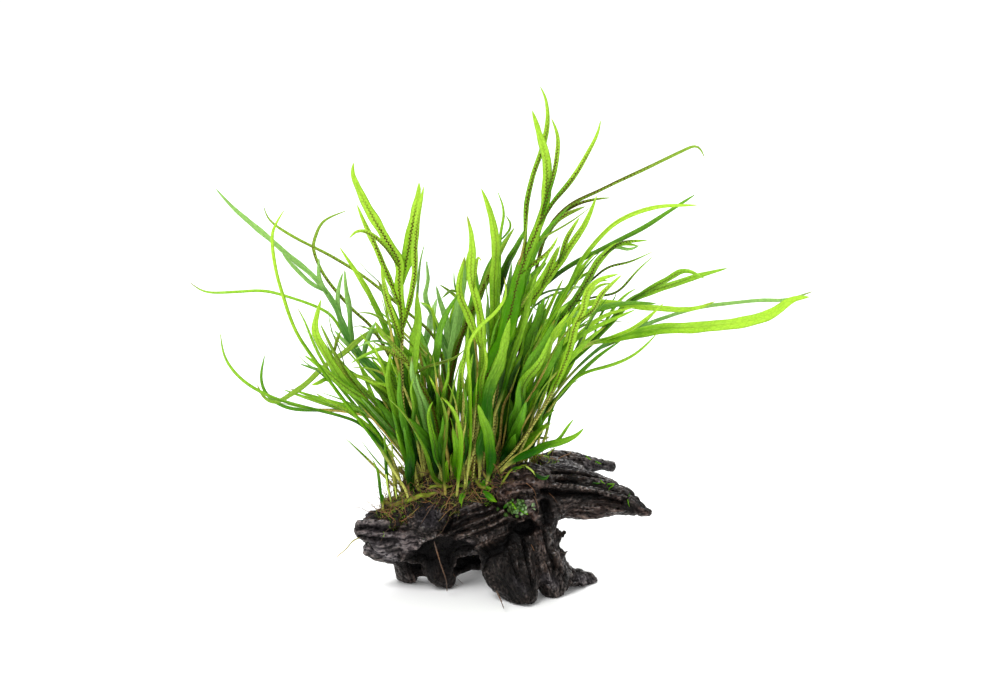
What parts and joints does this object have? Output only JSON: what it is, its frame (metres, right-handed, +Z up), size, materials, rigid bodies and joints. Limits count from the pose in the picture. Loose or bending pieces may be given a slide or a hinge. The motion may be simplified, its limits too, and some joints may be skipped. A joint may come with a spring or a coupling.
{
  "type": "java fern on driftwood",
  "caption": "Aquarium trident java fern with forked green fronds, rooted along the top of a dark gnarled driftwood piece that stands on worn feet.",
  "frame": {"origin": "on the surface that the wood stands on, at the middle of the front foot's sole", "axes": "+X to the right along the row of fronds, +Y back from the side that the picture shows, +Z up"},
  "size_m": [0.2689, 0.142, 0.2188],
  "materials": {
    "driftwood": "wet dark bog wood",
    "rhizome": "satin",
    "root": "satin",
    "frond_lime": "translucent satin",
    "frond_green": "translucent satin",
    "frond_dark_green": "satin",
    "frond_grey_green": "satin",
    "frond_olive": "satin"
  },
  "bodies": {
    "root": {"driftwood_log": "driftwood", "driftwood_left_limb": "driftwood", "driftwood_front_foot": "driftwood", "driftwood_right_foot": "driftwood", "driftwood_rear_foot": "driftwood", "driftwood_horn": "driftwood", "driftwood_prong": "driftwood", "rhizome_left": "rhizome", "rhizome_right": "rhizome", "root_hanging": "root", "root_front": "root", "root_left": "root", "frond_grey_forked": "frond_grey_green", "frond_olive_drooping": "frond_olive", "frond_thread_left": "frond_green", "frond_long_left": "frond_olive", "frond_strap_left": "frond_lime", "frond_faint_left": "frond_green", "frond_lime_left": "frond_lime", "frond_olive_left": "frond_olive", "frond_low_left": "frond_green", "frond_low_left_rear": "frond_dark_green", "frond_trident": "frond_lime", "frond_curl_left": "frond_olive", "frond_blue_green": "frond_green", "frond_short_left": "frond_green", "frond_olive_middle": "frond_olive", "frond_rear_fan": "frond_grey_green", "frond_upright_left": "frond_lime", "frond_upright_middle": "frond_lime", "frond_thin_middle": "frond_green", "frond_tallest": "frond_lime", "frond_dotted": "frond_olive", "frond_bright_thin": "frond_lime", "frond_hook_right": "frond_olive", "frond_lime_right": "frond_lime", "frond_dark_strap": "frond_dark_green", "frond_arched_lime": "frond_lime", "frond_dotted_right": "frond_green", "frond_yellow_front": "frond_lime", "frond_forked_right": "frond_green", "frond_level_right": "frond_lime", "frond_far_right": "frond_grey_green", "frond_broad_right": "frond_lime", "frond_thin_right": "frond_green", "frond_bundle_right": "frond_dark_green", "frond_low_right": "frond_green", "frond_front_leaf": "frond_green", "frond_broad_dark": "frond_dark_green", "frond_bright_middle": "frond_lime", "frond_curved_stem": "frond_olive", "frond_dark_right": "frond_dark_green", "frond_dark_middle": "frond_dark_green", "frond_fiddlehead": "frond_lime", "frond_young_left": "frond_green", "frond_yellow_stem": "frond_olive", "frond_rear_left": "frond_dark_green", "frond_rear_middle": "frond_dark_green", "frond_rear_right": "frond_dark_green"}
  },
  "joints": []
}
